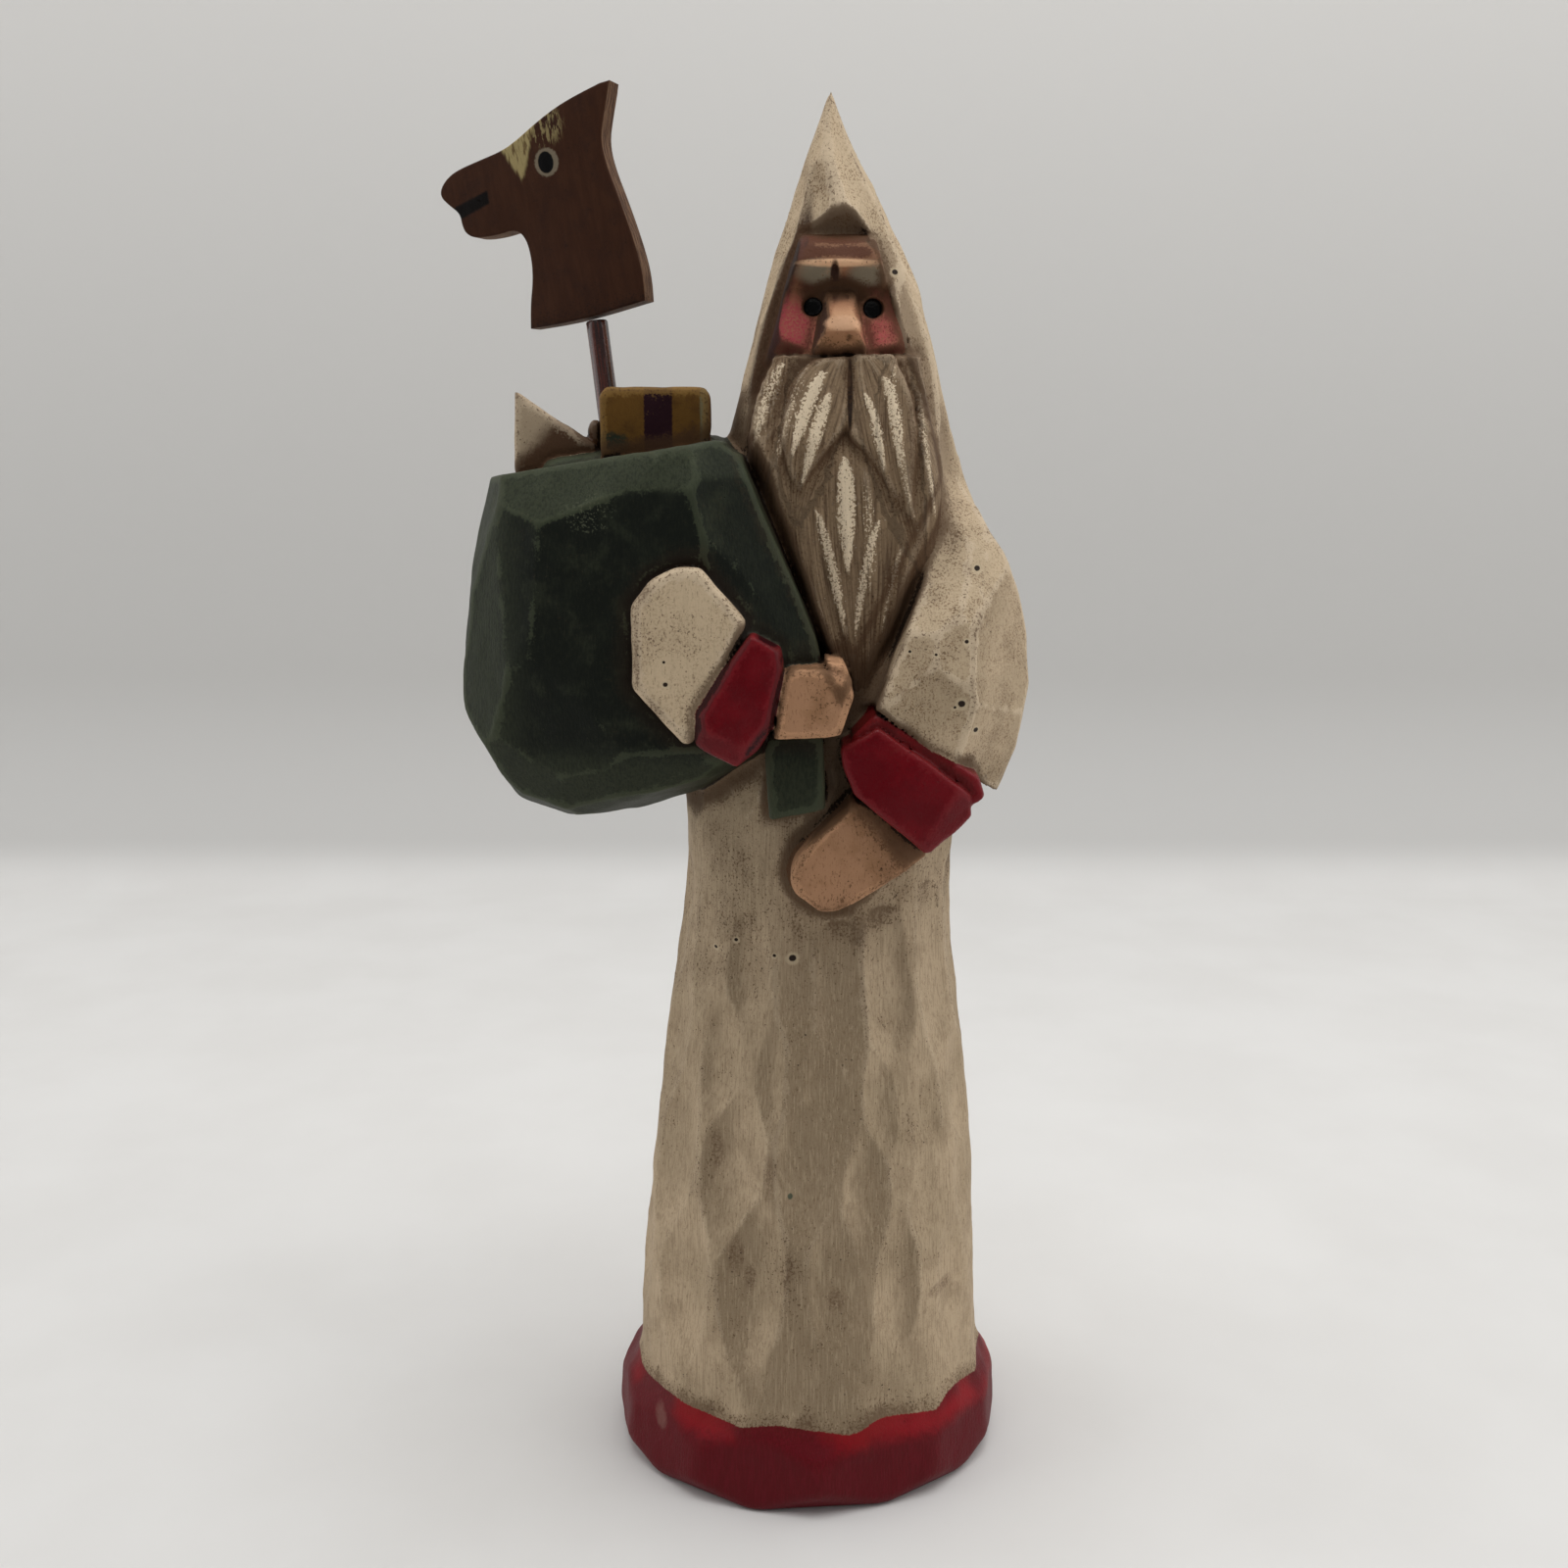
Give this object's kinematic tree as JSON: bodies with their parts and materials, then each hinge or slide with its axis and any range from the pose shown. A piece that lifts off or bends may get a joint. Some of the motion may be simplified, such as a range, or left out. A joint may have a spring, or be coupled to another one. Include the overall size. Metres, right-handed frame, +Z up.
{
  "type": "carved santa figure",
  "caption": "Tall hooded folk figure with a long beard, a sack on one shoulder and a toy horse's head on a stick, standing on a red hem.",
  "frame": {"origin": "the middle of the flat underside of the hem, where the figure stands", "axes": "+Z up, the figure faces -Y, +X is the figure's own left; the sack and the horse's head are on -X"},
  "size_m": [0.104, 0.07, 0.2513],
  "materials": {
    "painted_resin": "cast resin painted by hand in cream, green, dark red and flesh, with a brown antiquing wash, satin",
    "lacquered_dowel": "dark red-brown lacquer",
    "stained_board": "dark brown stain, rubbed, with painted eye, mouth and forelock"
  },
  "bodies": {
    "root": {"santa_figure": "painted_resin", "horse_stick": "lacquered_dowel", "horse_head": "stained_board"}
  },
  "joints": []
}
